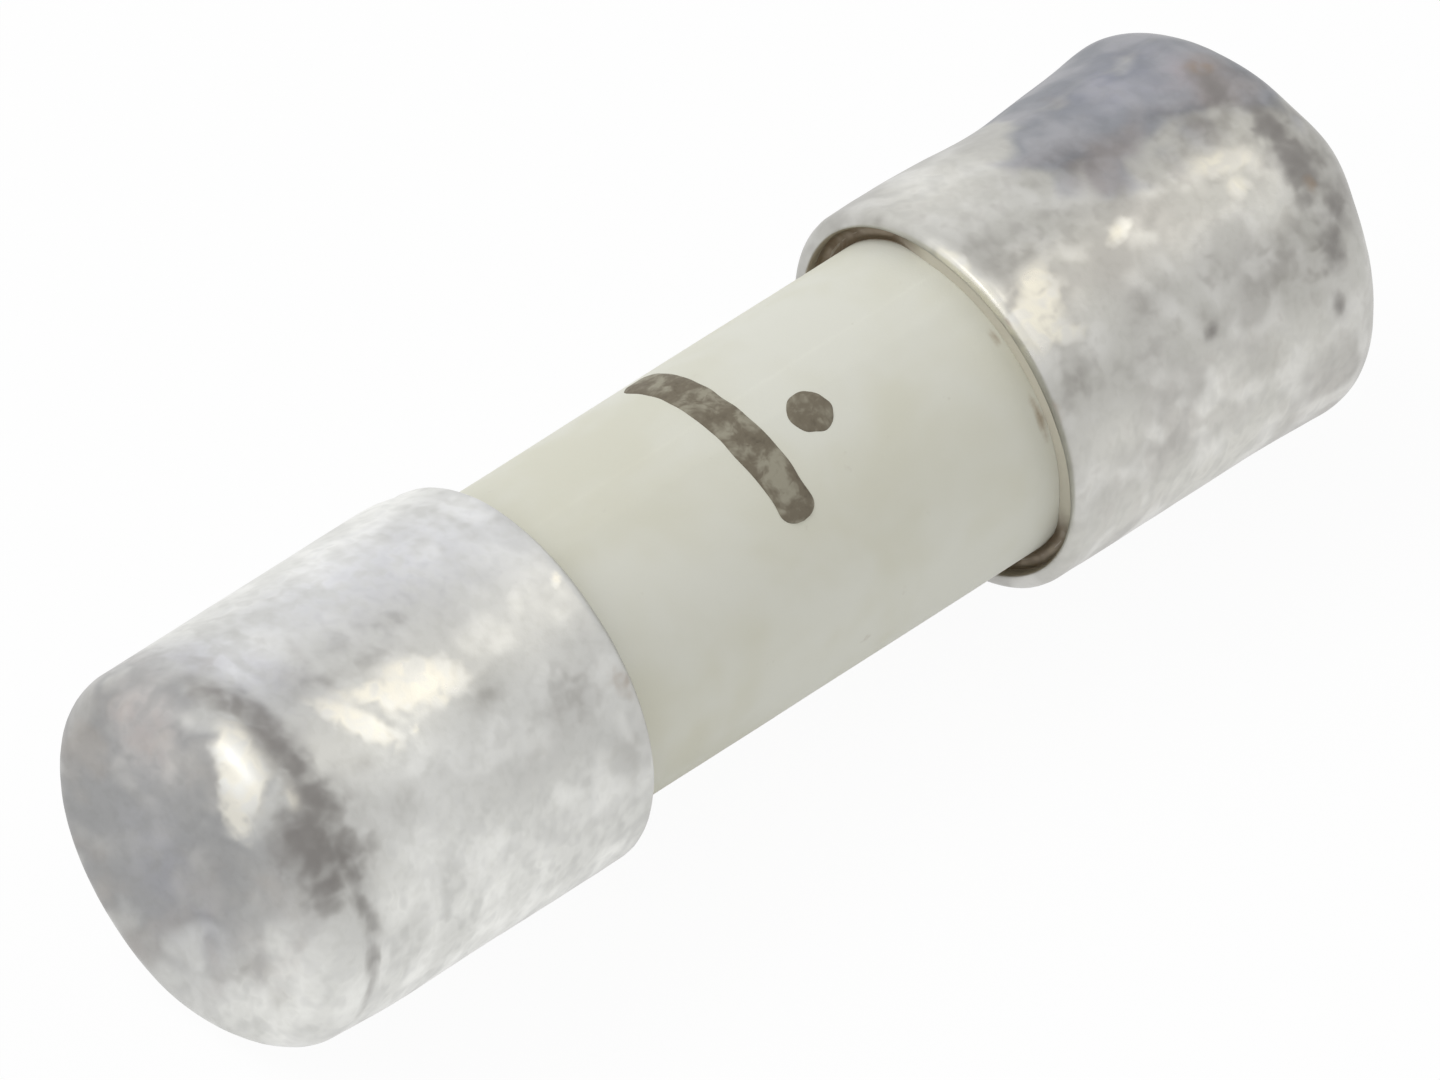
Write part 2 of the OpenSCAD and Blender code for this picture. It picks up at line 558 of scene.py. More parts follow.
@dataclass(frozen=True)
class FiredCeramic(Finish):
    """Off-white fired ceramic, matte and faintly clouded, with flux stain and painted shade along the
    caps' mouths.
    """

    body: Colour = tone(232, 232, 221)
    cloud: Colour = tone(226, 225, 209)
    speckle: Colour = tone(207, 203, 189)
    # Flux stain and painted shade along the caps' mouths, and rust stains.
    dirt: Colour = tone(150, 124, 88)
    dirt_cover: float = 0.85
    cloud_size: float = 1.3 * MM
    speck_size: float = 0.16 * MM
    grain_size: float = 0.022 * MM
    grain_height: float = 0.0012 * MM
    gloss: float = 0.35

    def paint(self, skin: Skin) -> None:
        """Give a new material the nodes of the ceramic.

        Args:
            skin: The new material.
        """
        cloud = skin.noise(skin.place, self.cloud_size, 2.0, detail=3.0, rough=0.6, warp=0.3)
        speck = skin.noise(skin.place, self.speck_size, 5.0, detail=3.0, rough=0.6)
        grain = skin.noise(skin.place, self.grain_size, 9.0, rough=0.6)
        colour = skin.mix(skin.fade(cloud, 0.36, 0.64), self.body, self.cloud)
        colour = skin.mix(skin.fade(speck, 0.66, 0.8, end=0.6), colour, self.speckle)
        # Stains, with flux stain and painted shade in the gap by the solder.
        stain_and_shade = skin.ragged("dirt", speck, reach=0.8, edge=0.3)
        colour = skin.mix(skin.maths("MULTIPLY", stain_and_shade, self.dirt_cover), colour, self.dirt)
        skin.set(Base_Color=colour, Roughness=skin.fade(cloud, 0.35, 0.65, start=0.58, end=0.68),
                 Specular_IOR_Level=self.gloss)
        skin.bumps((grain, self.grain_height))


@dataclass(frozen=True)
class StampedInk(Finish):
    """Warm grey stamping ink, unevenly laid."""

    thin: Colour = tone(160, 155, 138)
    full: Colour = tone(120, 112, 96)
    heavy: Colour = tone(98, 90, 76)
    blot_size: float = 0.16 * MM
    grain_size: float = 0.03 * MM
    grain_height: float = 0.002 * MM
    gloss: float = 0.3

    def paint(self, skin: Skin) -> None:
        """Give a new material the nodes of the ink.

        Args:
            skin: The new material.
        """
        blot = skin.noise(skin.place, self.blot_size, 4.0, detail=3.0, rough=0.6, warp=0.4)
        grain = skin.noise(skin.place, self.grain_size, 8.0, rough=0.6)
        colour = skin.mix(skin.fade(blot, 0.36, 0.56), self.thin, self.full)
        colour = skin.mix(skin.fade(blot, 0.56, 0.74), colour, self.heavy)
        skin.set(Base_Color=colour, Roughness=skin.fade(grain, 0.3, 0.7, start=0.55, end=0.75),
                 Specular_IOR_Level=self.gloss)
        skin.bumps((grain, self.grain_height))


@dataclass(frozen=True)
class DullSolder(Finish):
    """Tin solder as it set, matte grey with a crust, and pale with flux where that fills the gap."""

    metal: Colour = tone(170, 164, 152)
    crust: Colour = tone(140, 128, 108)
    flux: Colour = tone(205, 200, 184)
    crust_size: float = 0.3 * MM
    ripple_height: float = 0.003 * MM

    def paint(self, skin: Skin) -> None:
        """Give a new material the nodes of the solder.

        Args:
            skin: The new material.
        """
        crust = skin.noise(skin.place, self.crust_size, 6.0, detail=3.0, rough=0.6, warp=0.5)
        filled = skin.attribute("filled")
        crusted = skin.fade(crust, 0.35, 0.65, start=0.4)
        colour = skin.mix(crusted, self.metal, self.crust)
        hidden = skin.maths("MAXIMUM", crusted, filled)
        skin.set(Base_Color=skin.mix(filled, colour, self.flux),
                 Roughness=skin.fade(crust, 0.4, 0.62, start=0.35, end=0.7),
                 Metallic=skin.maths("SUBTRACT", 1.0, hidden, clamp=True))
        skin.bumps((crust, self.ripple_height))


@dataclass(frozen=True)
class SilveredWire(Finish):
    """Silvered copper wire, bright with faint drawing marks."""

    silver: Colour = tone(222, 219, 210)
    copper: Colour = tone(196, 150, 118)
    patch_size: float = 0.2 * MM
    mark_height: float = 0.0008 * MM

    def paint(self, skin: Skin) -> None:
        """Give a new material the nodes of the wire's metal.

        Args:
            skin: The new material.
        """
        patch = skin.noise(skin.place, self.patch_size, 3.0, detail=3.0, rough=0.6)
        colour = skin.mix(skin.fade(patch, 0.6, 0.8, end=0.5), self.silver, self.copper)
        skin.set(Base_Color=colour, Roughness=skin.fade(patch, 0.3, 0.7, start=0.2, end=0.36),
                 Metallic=1.0)
        skin.bumps((patch, self.mark_height))


class Tree(Graph):
    """A Geometry Nodes tree under construction."""

    def __init__(self, name: str, sizes: Sequence[str], counts: Sequence[str] = ()) -> None:
        """Make the tree with its inputs, of which the last is the material, named Skin.

        Args:
            name: The tree's name.
            sizes: Names of the inputs that take a length or a share.
            counts: Names of the inputs that take a whole number.
        """
        tree = bpy.data.node_groups.new(name, "GeometryNodeTree")
        super().__init__(tree)
        kinds = {"Geometry": "Geometry", **dict.fromkeys(sizes, "Float"), **dict.fromkeys(counts, "Int"),
                 "Skin": "Material"}
        for label, kind in kinds.items():
            tree.interface.new_socket(label, in_out="INPUT", socket_type="NodeSocket" + kind)
        tree.interface.new_socket("Geometry", in_out="OUTPUT", socket_type="NodeSocketGeometry")
        self.given = self.add("NodeGroupInput").outputs
        self.result = self.add("NodeGroupOutput").inputs[0]

    def held(self, label: str) -> Socket:
        """Give the number that the mesh holds under this name."""
        return self.out("GeometryNodeInputNamedAttribute", {"Name": label}, data_type="FLOAT")

    def round_axis(self, along: Socket, distance: Socket, turn: Socket) -> Socket:
        """Give a place by its distance from the fuse's axis and its turn.

        Args:
            along: The place along the fuse.
            distance: The distance from the axis.
            turn: The turn, in radians.

        Returns:
            The output with the place.
        """
        across = self.maths("MULTIPLY", distance, self.maths("SINE", turn))
        upright = self.maths("MULTIPLY", distance, self.maths("COSINE", turn))
        return self.out("ShaderNodeCombineXYZ", {
            0: along, 1: self.maths("MULTIPLY", across, -1.0),
            2: self.maths("ADD", upright, self.given["Axis Height"])})

    def close(self, geometry: Socket) -> None:
        """End the tree with smooth and real geometry in the material that it was given.

        Args:
            geometry: What the tree has made.
        """
        smooth = self.out("GeometryNodeSetShadeSmooth", {0: geometry})
        real = self.out("GeometryNodeRealizeInstances", {0: smooth})
        dressed = self.out("GeometryNodeSetMaterial", {"Geometry": real, "Material": self.given["Skin"]})
        self.feed(self.result, dressed)

    def grow(self, name: str, start: bpy.types.Mesh, values: dict[str, object]) -> bpy.types.Object:
        """Run the tree on a mesh and keep the result as a plain mesh.

        Args:
            name: The finished object's name.
            start: The mesh that the tree starts from.
            values: A value for each named input.

        Returns:
            The finished object.
        """
        raw = show(name + "_raw", start)
        modifier = raw.modifiers.new("Shape", "NODES")
        modifier.node_group = self.tree
        for item in self.tree.interface.items_tree:
            if item.in_out == "INPUT" and item.name in values:
                modifier[item.identifier] = values[item.name]
        graph = bpy.context.evaluated_depsgraph_get()
        mesh = bpy.data.meshes.new_from_object(raw.evaluated_get(graph), preserve_all_data_layers=True,
                                               depsgraph=graph)
        raw.modifiers.remove(modifier)
        bpy.data.objects.remove(raw)
        mesh.name = name
        return show(name, mesh)


class Section:
    """A half section: a row of points, each a place along the part and a distance from its axis."""

    FEWEST_ARC_STEPS = 4

    def __init__(self, along: float, radius: float, step: float, relief: float = 0.0) -> None:
        """Start the section.

        Args:
            along: The first point's place along the part.
            radius: Its distance from the axis.
            step: Longest way between two points.
            relief: How much of the surface relief the first point takes.
        """
        self.rows = [(along, radius)]
        self.relief = [relief]
        self.step = step

    def line(self, along: float, radius: float, step: float | None = None, relief: float = 1.0) -> None:
        """Draw a straight stretch.

        Args:
            along: Where it ends along the part.
            radius: How far from the axis it ends.
            step: Longest way between two points, where it isn't the section's own.
            relief: How much of the surface relief this stretch takes.
        """
        start = np.array(self.rows[-1])
        end = np.array((along, radius))
        count = max(1, math.ceil(np.linalg.norm(end - start) / (step or self.step)))
        for number in range(1, count + 1):
            self.rows.append(tuple(start + (end - start) * number / count))
            self.relief.append(relief)

    def plain_lines(self, step: float, *corners: tuple[float, float]) -> None:
        """Draw straight stretches without relief to each of these corners in turn."""
        for along, radius in corners:
            self.line(along, radius, step, 0.0)

    def arc(self, middle: tuple[float, float], along: float, radius: float, relief: float = 1.0) -> None:
        """Draw a quarter round.

        Args:
            middle: The place of its centre.
            along: Where it ends along the part.
            radius: How far from the axis it ends.
            relief: How much of the surface relief this stretch takes.
        """
        first = np.array(self.rows[-1]) - middle
        last = np.array((along, radius)) - middle
        count = max(self.FEWEST_ARC_STEPS, math.ceil(np.linalg.norm(last) * math.pi / 2 / self.step))
        for number in range(1, count + 1):
            swing = math.pi / 2 * number / count
            self.rows.append(tuple(np.array(middle) + first * math.cos(swing) + last * math.sin(swing)))
            self.relief.append(relief)

    def mesh(self, name: str, start: float = 0.0, facing: int = 1) -> bpy.types.Mesh:
        """Lay the section out along X.

        Args:
            name: The mesh's name.
            start: Where the part's own zero lies on X.
            facing: 1 where the part runs towards +X, -1 towards -X.

        Returns:
            A mesh of the section's points, each with its relief and its way along the section.
        """
        rows = np.array(self.rows)
        way = np.concatenate([[0.0], np.cumsum(np.linalg.norm(np.diff(rows, axis=0), axis=1))])
        points = np.column_stack([start + facing * rows[:, 0], rows[:, 1], np.zeros(len(rows))])
        relief = np.array(self.relief)
        if facing < 0:
            points, way, relief = points[::-1], way[::-1], relief[::-1]
        return point_mesh(name, points, {"relief": relief, "way": way})


@dataclass(frozen=True)
class Turning:
    """How finely a part is turned and how uneven its outside is.

    The unevenness fades out towards the board, over the height ground_fade.
    """

    steps_round: int
    lump_height: float
    lump_size: float
    ripple_height: float
    ripple_size: float
    ground_fade: float = 0.3 * MM
    weld: float = 0.0001 * MM

    def inputs(self) -> dict[str, float]:
        """Give the sizes by the names of the inputs that take them."""
        return {name.replace("_", " ").title(): value for name, value in asdict(self).items()}


class Lathe(Tree):
    """Turns a section round the fuse's axis and gives its outside lumps and ripples."""

    # What lies between the seeds of the lumps and of the ripples on them
    RIPPLE_SEED_SHIFT = 20.0

    def __init__(self) -> None:
        """Build the tree."""
        super().__init__("turned_part", [
            "Axis Height", "Lump Height", "Lump Size", "Ripple Height", "Ripple Size", "Ground Fade",
            "Weld", "Seed"], ["Steps Round"])
        given = self.given
        rows = self.out("GeometryNodeAttributeDomainSize", {0: given["Geometry"]}, component="MESH")
        around = self.maths("ADD", given["Steps Round"], 1)
        geometry = self.out("GeometryNodeMeshGrid", {"Vertices X": rows, "Vertices Y": around})
        index = self.out("GeometryNodeInputIndex")
        row = self.maths("FLOOR", self.maths("DIVIDE", self.maths("ADD", index, 0.5), around))
        column = self.maths("SUBTRACT", index, self.maths("MULTIPLY", row, around))
        turn = self.maths("MULTIPLY", self.maths("DIVIDE", column, given["Steps Round"]), math.tau)
        place = self.sample("FLOAT_VECTOR", self.out("GeometryNodeInputPosition"), row)
        spot = self.add("ShaderNodeSeparateXYZ", {0: place}).outputs
        for label in ("relief", "way"):
            number = self.sample("FLOAT", self.held(label), row)
            geometry = self.out("GeometryNodeStoreNamedAttribute", {
                "Geometry": geometry, "Name": label, "Value": number}, data_type="FLOAT", domain="POINT")
        turned = self.out("GeometryNodeSetPosition", {
            "Geometry": geometry, "Position": self.round_axis(spot[0], spot[1], turn)})
        welded = self.out("GeometryNodeMergeByDistance", {"Geometry": turned, "Distance": given["Weld"]})
        outwards = self.out("GeometryNodeFlipFaces", {0: welded})
        self.close(self.out("GeometryNodeSetPosition", {
            "Geometry": outwards, "Offset": self.uneven_offset()}))

    def sample(self, kind: str, value: Socket, row: Socket) -> Socket:
        """Read a value of the section, of a kind that Blender names, at one of its rows."""
        feeds = {"Geometry": self.given["Geometry"], "Value": value, "Index": row}
        return self.out("GeometryNodeSampleIndex", feeds, data_type=kind, domain="POINT")

    def uneven_height(self, kind: str, place: Socket, seed: Socket) -> Socket:
        """Give the height of the lumps or ripples, by the word that their inputs begin with."""
        noise = self.noise(place, self.given[kind + " Size"], seed)
        return self.maths("MULTIPLY", self.maths("SUBTRACT", noise, 0.5), self.given[kind + " Height"])

    def uneven_offset(self) -> Socket:
        """Give the way that each point moves for the lumps and ripples.

        Returns:
            The output with the move.
        """
        place = self.out("GeometryNodeInputPosition")
        seed = self.given["Seed"]
        lumps = self.uneven_height("Lump", place, seed)
        ripples = self.uneven_height("Ripple", place, self.maths("ADD", seed, self.RIPPLE_SEED_SHIFT))
        height = self.maths("MULTIPLY", self.maths("ADD", lumps, ripples), self.held("relief"))
        level = self.add("ShaderNodeSeparateXYZ", {0: place}).outputs[2]
        height = self.maths("MULTIPLY", height, self.fade(level, 0.0, self.given["Ground Fade"]))
        normal = self.out("GeometryNodeInputNormal")
        return self.out("ShaderNodeVectorMath", {0: normal, "Scale": height}, operation="SCALE")

    def turn(self, name: str, section: bpy.types.Mesh, axis_height: float, turning: Turning,
             seed: float, skin: bpy.types.Material) -> bpy.types.Object:
        """Turn a section that is laid out along X into a piece of this name and skin."""
        values = {"Axis Height": axis_height, "Seed": seed, "Skin": skin, **turning.inputs()}
        return self.grow(name, section, values)


class Sweep(Tree):
    """Draws a round wire along a path."""

    def __init__(self) -> None:
        """Build the tree."""
        super().__init__("swept_wire", ["Radius"], ["Sides"])
        path = self.out("GeometryNodeMeshToCurve", {"Mesh": self.given["Geometry"]})
        ring = self.out("GeometryNodeCurvePrimitiveCircle", {
            "Resolution": self.given["Sides"], "Radius": self.given["Radius"]})
        self.close(self.out("GeometryNodeCurveToMesh", {
            "Curve": path, "Profile Curve": ring, "Fill Caps": True}))


class Film(Tree):
    """Thickens a flat drawing and lays it round the tube: X along it, Y round it."""

    def __init__(self) -> None:
        """Build the tree."""
        super().__init__("wrapped_film", [
            "Radius", "Axis Height", "Thickness", "Rim Share", "Rim Power", "Sunk", "Weld"])
        given = self.given
        flat = given["Geometry"]
        raised = self.out("GeometryNodeExtrudeMesh", {
            "Mesh": flat, "Offset Scale": given["Thickness"], "Individual": False}, mode="FACES")
        below = self.out("GeometryNodeFlipFaces", {0: flat})
        both = self.add("GeometryNodeJoinGeometry")
        for part in (below, raised):
            self.feed(both.inputs[0], part)
        closed = self.out("GeometryNodeMergeByDistance", {
            "Geometry": both.outputs[0], "Distance": given["Weld"]})
        spot = self.add("ShaderNodeSeparateXYZ", {0: self.out("GeometryNodeInputPosition")}).outputs
        fall = self.maths("POWER", self.held("rim"), given["Rim Power"])
        swell = self.maths("ADD", self.maths("SUBTRACT", 1.0, fall), given["Rim Share"])
        height = self.maths("SUBTRACT", self.maths("MULTIPLY", spot[2], swell), given["Sunk"])
        distance = self.maths("ADD", given["Radius"], height)
        turn = self.maths("DIVIDE", spot[1], given["Radius"])
        laid = self.out("GeometryNodeSetPosition", {
            "Geometry": closed, "Position": self.round_axis(spot[0], distance, turn)})
        self.close(self.out("GeometryNodeFlipFaces", {0: laid}))


@dataclass(frozen=True)
class Patch:
    """One place on a round piece where it is pressed or covered.

    The way is measured along the piece's surface: on a cap from the middle of its closed end, on
    the tube along X. The half sizes say where the patch has faded to a half.
    """

    coat: Coat | None
    way: float
    turn: float
    half_long: float
    half_short: float
    amount: float = 1.0
    slant: float = 0.0

    def cover(self, way: np.ndarray, turn: np.ndarray, radius: np.ndarray, at_radius: float) -> np.ndarray:
        """Work out how much of the patch each point of the piece holds.

        Args:
            way: The way of each point along the surface.
            turn: The turn of each point, in radians.
            radius: The distance of each point from the fuse's axis.
            at_radius: The same distance at the patch's middle, or 0 where it lies on a flat end.

        Returns:
            One number for each point, from 0 to the patch's amount.
        """
        swing = swings_from(self.turn, turn)
        if at_radius:
            along = way - self.way
            across = 2 * np.sqrt(np.maximum(radius, 0) * at_radius) * np.sin(swing / 2)
        else:
            along = way * np.cos(swing) - self.way
            across = way * np.sin(swing)
        tilt = math.radians(self.slant)
        first = (along * math.cos(tilt) + across * math.sin(tilt)) / self.half_long
        second = (across * math.cos(tilt) - along * math.sin(tilt)) / self.half_short
        return self.amount * np.exp(-math.log(2) * (first ** 2 + second ** 2))


def patches(table: dict[Coat | None, Sequence[tuple[float, ...]]]) -> tuple[Patch, ...]:
    """Make patches from plain rows.

    Args:
        table: Rows for each coat, None for dents. A row holds the way, turn, both half sizes,
            amount and slant, in millimetres and degrees. A dent's amount is a height.

    Returns:
        The patches.
    """
    made = []
    for coat, rows in table.items():
        for way, turn, half_long, half_short, amount, slant in rows:
            depth = amount if coat else amount * MM
            made.append(Patch(coat, way * MM, turn, half_long * MM, half_short * MM, depth, slant))
    return tuple(made)


LEFT_MARKS = patches({
    # Painted shade: the closed end and a lobe over its top rounding are darker grey, on rougher tin.
    Coat.DULL: [
        (0.55, -52, 1.25, 1.75, 1, 0), (1.5, -10, 0.25, 0.6, 0.8, 0), (1.4, -50, 0.5, 0.2, 0.8, 80)],
    # A painted cool reflection over the closed end's painted shade and along the top.
    Coat.COOL: [
        (0.25, -125, 0.5, 0.35, 0.6, 110), (0.3, 150, 0.35, 0.25, 0.5, 30), (2, -10, 0.5, 0.25, 1, 80),
        (3.4, -10, 1.05, 0.45, 0.8, 10)],
    Coat.WARM: [(1.2, -23, 0.25, 0.3, 1, 0)],
    # Painted light and highlight, which lift the tin's colour: round the closed end's top, by the mouth,
    # low on the closed end, down the front, then along the top, the back and the foot.
    Coat.PALE: [
        (1.4, 18, 0.25, 0.15, 0.9, -60), (1.15, -23, 0.3, 0.35, 1.6, -10), (1.8, -25, 0.4, 0.5, 0.7, 0),
        (0.4, -47, 0.35, 0.8, 0.3, 0), (2.05, -12, 0.4, 0.3, 1, 0), (4.05, -14, 0.4, 0.5, 0.8, 0),
        (0.95, 127, 0.45, 0.85, 1.1, 0), (1.2, 125, 0.6, 0.3, 0.6, -65), (2.5, 38, 0.3, 0.25, 0.4, 0),
        (2, 75, 0.3, 0.4, 0.9, 0), (2.9, -7, 0.75, 0.45, 0.3, 20), (3.2, -50, 1.5, 0.7, 1.6, 0),
        (3, 78, 1.4, 0.45, 0.7, 0), (3, 107, 1.8, 0.7, 1.1, 0)],
    # Darker patches on the tin.
    Coat.SMUDGE: [
        (1.35, -47, 0.4, 0.15, 0.5, 65), (0.35, 95, 0.45, 0.45, 0.3, 0), (1.7, 12, 0.7, 0.17, 0.7, 88),
        (1.65, 52, 0.45, 0.3, 0.8, 90), (0.75, 125, 0.3, 0.1, 0.7, -80), (1.05, 115, 0.15, 0.07, 0.7, -80),
        (3.1, 8, 0.15, 0.1, 0.9, 15), (2.2, 11, 0.13, 0.08, 0.7, -10), (2.55, 13, 0.45, 0.08, 0.8, 5),
        (2.8, 9, 0.7, 0.25, 0.5, 0), (3.3, 39, 0.12, 0.09, 0.8, -15), (2.2, 37, 0.08, 0.06, 0.7, 10),
        (2.3, 52, 0.15, 0.1, 0.5, 30), (3.9, 52, 0.27, 0.17, 0.9, -25), (3.6, 60, 0.5, 0.25, 0.35, 0),
        (4.25, 74, 0.2, 0.2, 0.6, -70), (4.45, 102, 0.3, 0.1, 0.5, 90)],
    # Painted highlights on smoother tin: one on the closed end, one on the side and a glint by the mouth.
    Coat.BRIGHT: [
        (1.49, 14, 0.2, 0.13, 1.2, -60), (1.38, 22, 0.22, 0.18, 1.3, -45), (1.1, 27, 0.22, 0.16, 1.1, -30),
        (1.6, 35, 0.1, 0.06, 0.9, -70), (2.35, 26, 0.34, 0.09, 1, 60), (2.65, 23, 0.32, 0.09, 1, 25),
        (2.9, 27, 0.34, 0.16, 1, 15), (2.95, 23, 0.25, 0.09, 1, 25), (3, 34, 0.07, 0.05, 0.9, 10),
        (2.7, 37, 0.05, 0.03, 0.8, -20), (4.3, 23, 0.06, 0.03, 1, -45)],
    # Soot runs down the rounding and spreads half way.
    Coat.SOOT: [
        (1.7, -5, 0.22, 0.11, 0.7, 85), (1.75, 10, 0.35, 0.12, 0.6, 88), (1.75, 26, 0.3, 0.12, 0.7, 84),
        (1.75, 38, 0.2, 0.14, 0.9, 60), (1.55, 45, 0.3, 0.2, 0.95, -20), (1.6, 52, 0.28, 0.18, 0.9, 15),
        (1.5, 61, 0.2, 0.13, 0.75, -50), (1.75, 60, 0.25, 0.1, 0.65, 90), (1.75, 72, 0.3, 0.07, 0.6, 80),
        (1.75, 86, 0.28, 0.06, 0.55, 90), (1.75, 100, 0.26, 0.05, 0.5, 95)],
    Coat.RUST: [(4.3, 55, 0.17, 0.09, 0.4, 60)],
    # Pressed in at the mouth behind the top, and worn off low on the rounding.
    None: [(4.32, -52, 0.12, 0.7, -0.04, 0), (1.47, 150, 0.35, 0.75, -0.05, 0)],
})


RIGHT_MARKS = patches({
    # Painted shade: a darker grey lobe over the top, from the waist to the rounding, on rougher tin.
    Coat.DULL: [
        (2.9, -12, 0.5, 0.38, 1, 60), (2.5, -38, 0.35, 0.45, 1, 0), (2, -38, 0.5, 0.55, 1, 0),
        (2.45, -55, 0.7, 0.35, 0.9, 15), (1.6, -60, 0.3, 0.5, 0.8, 0), (1.55, 2, 0.55, 0.3, 0.9, 95),
        (2.5, -10, 0.65, 0.55, 1, 0), (1.9, -7, 0.5, 0.6, 1, 125), (2.9, 6, 0.32, 0.18, 0.9, 70)],
    # A painted cool reflection within the painted shade on the top.
    Coat.COOL: [(2.2, -19, 0.35, 0.35, 0.8, 105)],
    Coat.WARM: [(1.85, -3, 0.18, 0.15, 0.9, 105)],
    # Painted light and highlight, which lift the tin's colour: round the glint on the lip, among the
    # painted highlights, low on the front, behind the mouth's top, then along the foot.
    Coat.PALE: [
        (4.35, 14, 0.4, 0.08, 1.2, 90), (3.05, 25, 0.16, 0.08, 0.8, 25), (2.85, 34, 0.17, 0.11, 0.6, 70),
        (2.1, 43, 0.2, 0.13, 0.7, 20), (3.85, 76, 0.45, 0.25, 0.6, -10), (2.8, 72, 0.6, 0.2, 0.4, -40),
        (3.85, -24, 0.45, 0.45, 0.8, -60), (3, 82, 1.2, 0.4, 0.7, 0), (3, 107, 1.5, 0.45, 0.85, 0)],
    # Darker patches on the tin.
    Coat.SMUDGE: [
        (3, -1, 0.4, 0.17, 0.9, -15), (2.2, 4, 0.25, 0.11, 0.7, -30), (1.6, 27, 0.7, 0.23, 0.8, 90),
        (2.05, 13, 0.55, 0.27, 0.7, 0), (3.6, 60, 0.8, 0.2, 0.35, 0), (3.95, 14, 0.4, 0.2, 0.6, 0),
        (3.4, 20, 0.5, 0.2, 0.3, 0), (2.95, 58, 0.09, 0.09, 0.8, 0), (4.1, 54, 0.18, 0.13, 0.7, 0),
        (3.7, 59, 0.15, 0.07, 0.7, -60), (2.05, 58, 0.38, 0.28, 0.9, 15), (3.15, 74, 0.06, 0.05, 0.7, 0),
        (3.5, 13, 0.27, 0.1, 0.6, -15), (4.1, 8, 0.2, 0.12, 0.5, -25), (2.55, 80, 0.16, 0.13, 0.5, 35),
        (3.3, 46, 0.3, 0.1, 0.5, 20), (2.75, 48, 0.12, 0.2, 0.5, 0), (4.35, -25, 0.06, 0.03, 0.6, -45)],
    # Painted highlights on smoother tin: one by the mouth and a glint on its lip, then more further along.
    Coat.BRIGHT: [
        (4.15, 33, 0.29, 0.17, 1.1, 30), (4, 25, 0.18, 0.11, 1, 30), (4.05, 40, 0.21, 0.07, 0.9, -20),
        (4.35, 32, 0.08, 0.06, 1, 90), (4.35, 21, 0.2, 0.07, 1.2, 90), (4.35, 7, 0.2, 0.07, 1.2, 90),
        (3.2, 25, 0.12, 0.06, 0.8, 20), (2.2, 24, 0.25, 0.09, 0.9, -20), (2.2, 32, 0.09, 0.08, 0.8, -35)],
    # Soot lies in a broken line down the rounding, and in one speck on the side.
    Coat.SOOT: [
        (1.7, 24, 0.18, 0.1, 1, 95), (1.7, 35, 0.22, 0.14, 1, 100), (1.8, 45, 0.08, 0.07, 0.75, 0),
        (1.6, 52, 0.14, 0.09, 0.8, -70), (1.75, 58, 0.23, 0.09, 0.8, 75), (1.85, 76, 0.12, 0.06, 0.7, 100),
        (1.8, 4, 0.2, 0.08, 0.8, 85), (2.95, 62, 0.07, 0.06, 0.7, 0)],
    Coat.RUST: [
        (1.75, -3, 0.11, 0.08, 0.35, -65), (1.7, 42, 0.08, 0.05, 0.5, 90), (4.35, 30, 0.06, 0.02, 0.6, 90),
        (4.35, 58, 0.12, 0.03, 0.6, 90)],
    # A waist behind the top and a swelling over the rounding there, then swellings of tin over the
    # rounding towards the front and low on it.
    None: [
        (2.95, -52, 0.4, 0.8, -0.045, 0), (1.75, -52, 0.25, 0.8, 0.045, 0), (1.3, 38, 0.35, 1.1, 0.045, 0),
        (1.25, 38, 0.2, 0.25, 0.045, 0), (1.6, 112, 0.35, 0.6, 0.045, 0)],
})

TUBE_STAINS = patches({
    # Rusty stains by the right cap's mouth, and a faint stain low on the front.
    Coat.RUST: [
        (1.97, 30, 0.04, 0.08, 0.6, 0), (1.98, 60, 0.04, 0.18, 0.6, 0), (-0.7, 126, 0.35, 0.1, 0.45, 0)],
})


